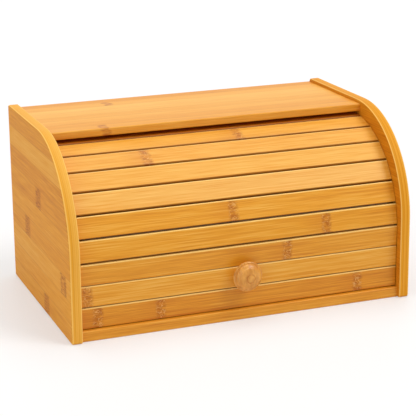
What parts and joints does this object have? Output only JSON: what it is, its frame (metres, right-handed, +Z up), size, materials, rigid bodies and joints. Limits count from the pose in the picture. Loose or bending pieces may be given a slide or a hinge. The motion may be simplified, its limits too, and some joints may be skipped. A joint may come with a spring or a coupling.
{
  "type": "roll-top bread box",
  "caption": "Free-standing bamboo bread box with a roll-top slatted curtain and a turned knob, for keeping bread on a worktop.",
  "frame": {"origin": "centre of the underside of the base board, on the worktop", "axes": "+X along the box to its right end as the user sees it, +Y to the back, +Z up"},
  "size_m": [0.4, 0.2614, 0.21],
  "materials": {
    "bamboo_board": "satin lacquer on laminated bamboo board",
    "bamboo_slat": "satin lacquer on bamboo slats",
    "knob_wood": "satin lacquer on turned wood",
    "dowel_wood": "bare beech",
    "canvas": "plain cotton canvas",
    "screw_steel": "zinc plated"
  },
  "bodies": {
    "case": {"left_side_panel": "bamboo_board", "right_side_panel": "bamboo_board", "base_board": "bamboo_board", "top_shelf": "bamboo_board", "back_panel": "bamboo_board", "shelf_dowels": "dowel_wood", "base_dowels": "dowel_wood"},
    "curtain": {"slat_01": "bamboo_slat", "slat_02": "bamboo_slat", "slat_03": "bamboo_slat", "slat_04": "bamboo_slat", "slat_05": "bamboo_slat", "slat_06": "bamboo_slat", "slat_07": "bamboo_slat", "slat_08": "bamboo_slat", "canvas_upper": "canvas"},
    "knob_slat": {"slat_09": "bamboo_slat", "knob": "knob_wood", "knob_screw": "screw_steel", "canvas_knob_slat": "canvas"},
    "bottom_slat": {"slat_10": "bamboo_slat", "canvas_bottom_slat": "canvas"}
  },
  "joints": [
    {"name": "curtain_roll", "type": "hinge", "parent": "case", "child": "curtain", "pos_m": [0, -0.0005, 0.0775], "axis": [-1, 0, 0], "range_deg": [0, 88]},
    {"name": "knob_slat_fold", "type": "hinge", "parent": "curtain", "child": "knob_slat", "pos_m": [0, -0.10878, 0.0607], "axis": [-1, 0, 0], "range_deg": [-15.21, 0]},
    {"name": "bottom_slat_fold", "type": "hinge", "parent": "knob_slat", "child": "bottom_slat", "pos_m": [0, -0.10878, 0.0364], "axis": [-1, 0, 0], "range_deg": [-12.75, 0]}
  ],
  "couplings": [
    {"joint": "knob_slat_fold", "follows": "curtain_roll", "ratio": -0.17256},
    {"joint": "bottom_slat_fold", "follows": "curtain_roll", "ratio": -0.14469}
  ]
}
